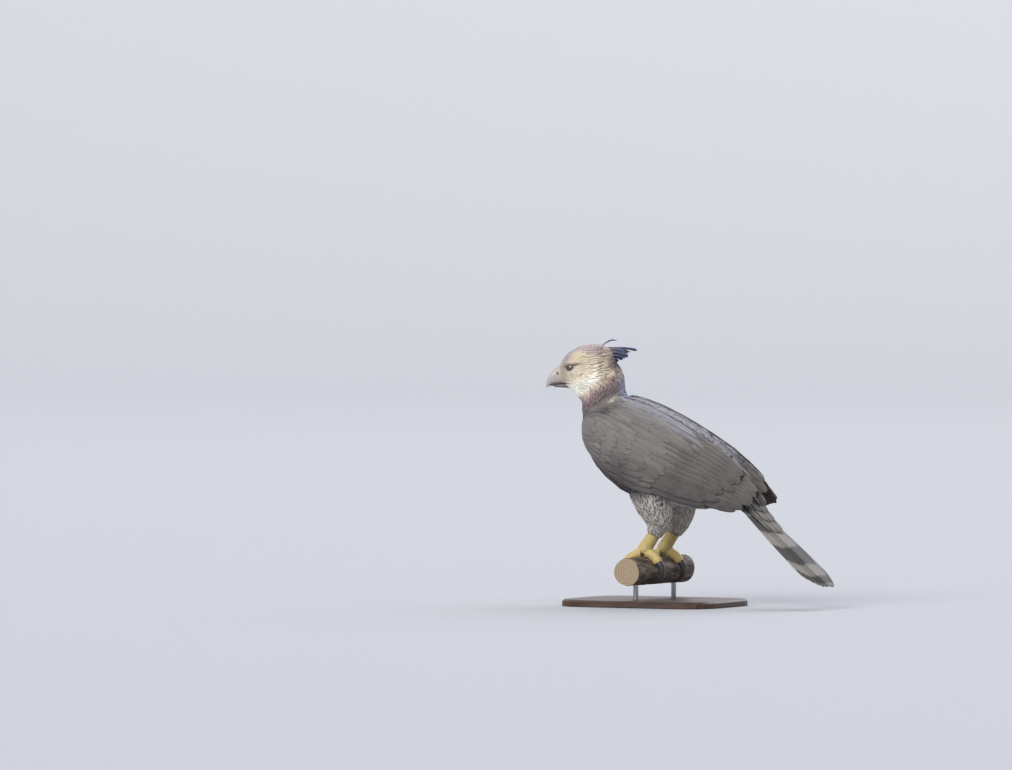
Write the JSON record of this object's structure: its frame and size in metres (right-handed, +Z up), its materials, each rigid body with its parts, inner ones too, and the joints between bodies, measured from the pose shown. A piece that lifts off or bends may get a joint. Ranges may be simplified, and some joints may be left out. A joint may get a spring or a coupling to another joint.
{
  "type": "harpy eagle model",
  "caption": "Life-size still harpy eagle with folded wings and swept-back crest, gripping a cut branch on a low display stand.",
  "frame": {"origin": "centre of the stand base's underside, where the model rests", "axes": "+Z up; the bird's body points along -X, its left side is at -Y, and the branch lies along Y"},
  "size_m": [0.718, 0.3, 0.6287],
  "materials": {
    "head_feathers": "soft short feathers, pale grey to cream, white on the throat, with a dark crest",
    "neck_feathers": "soft feathers in a dark brown-grey band",
    "body_feathers": "soft overlapping feathers, mid grey, darker below",
    "wing_feathers": "matt overlapping vanes, mid grey with darker flight feathers",
    "tail_feathers": "long matt vanes, barred grey and dark grey",
    "thigh_feathers": "loose pale feathers with fine grey bars",
    "cere": "bare slate-grey skin at the base of the bill",
    "horn": "dark grey horn, satin",
    "eye": "glossy dark eye",
    "leg_skin": "dull yellow scaled skin",
    "bark": "rough grey-brown bark with pale sawn ends",
    "base_wood": "dark stained wood, satin",
    "steel": "brushed steel rods"
  },
  "bodies": {
    "root": {"beak_lower": "horn", "beak_upper": "horn", "cere": "cere", "claw_left_hind": "horn", "claw_left_inner": "horn", "claw_left_middle": "horn", "claw_left_outer": "horn", "claw_right_hind": "horn", "claw_right_inner": "horn", "claw_right_middle": "horn", "claw_right_outer": "horn", "eye_left": "eye", "eye_right": "eye", "head": "head_feathers", "neck": "neck_feathers", "perch": "bark", "stand_base": "base_wood", "stand_rod_left": "steel", "stand_rod_right": "steel", "tail": "tail_feathers", "tarsus_left": "leg_skin", "tarsus_right": "leg_skin", "thigh_left": "thigh_feathers", "thigh_right": "thigh_feathers", "toe_left_hind": "leg_skin", "toe_left_inner": "leg_skin", "toe_left_middle": "leg_skin", "toe_left_outer": "leg_skin", "toe_right_hind": "leg_skin", "toe_right_inner": "leg_skin", "toe_right_middle": "leg_skin", "toe_right_outer": "leg_skin", "torso": "body_feathers", "wing_left": "wing_feathers", "wing_right": "wing_feathers"}
  },
  "joints": []
}
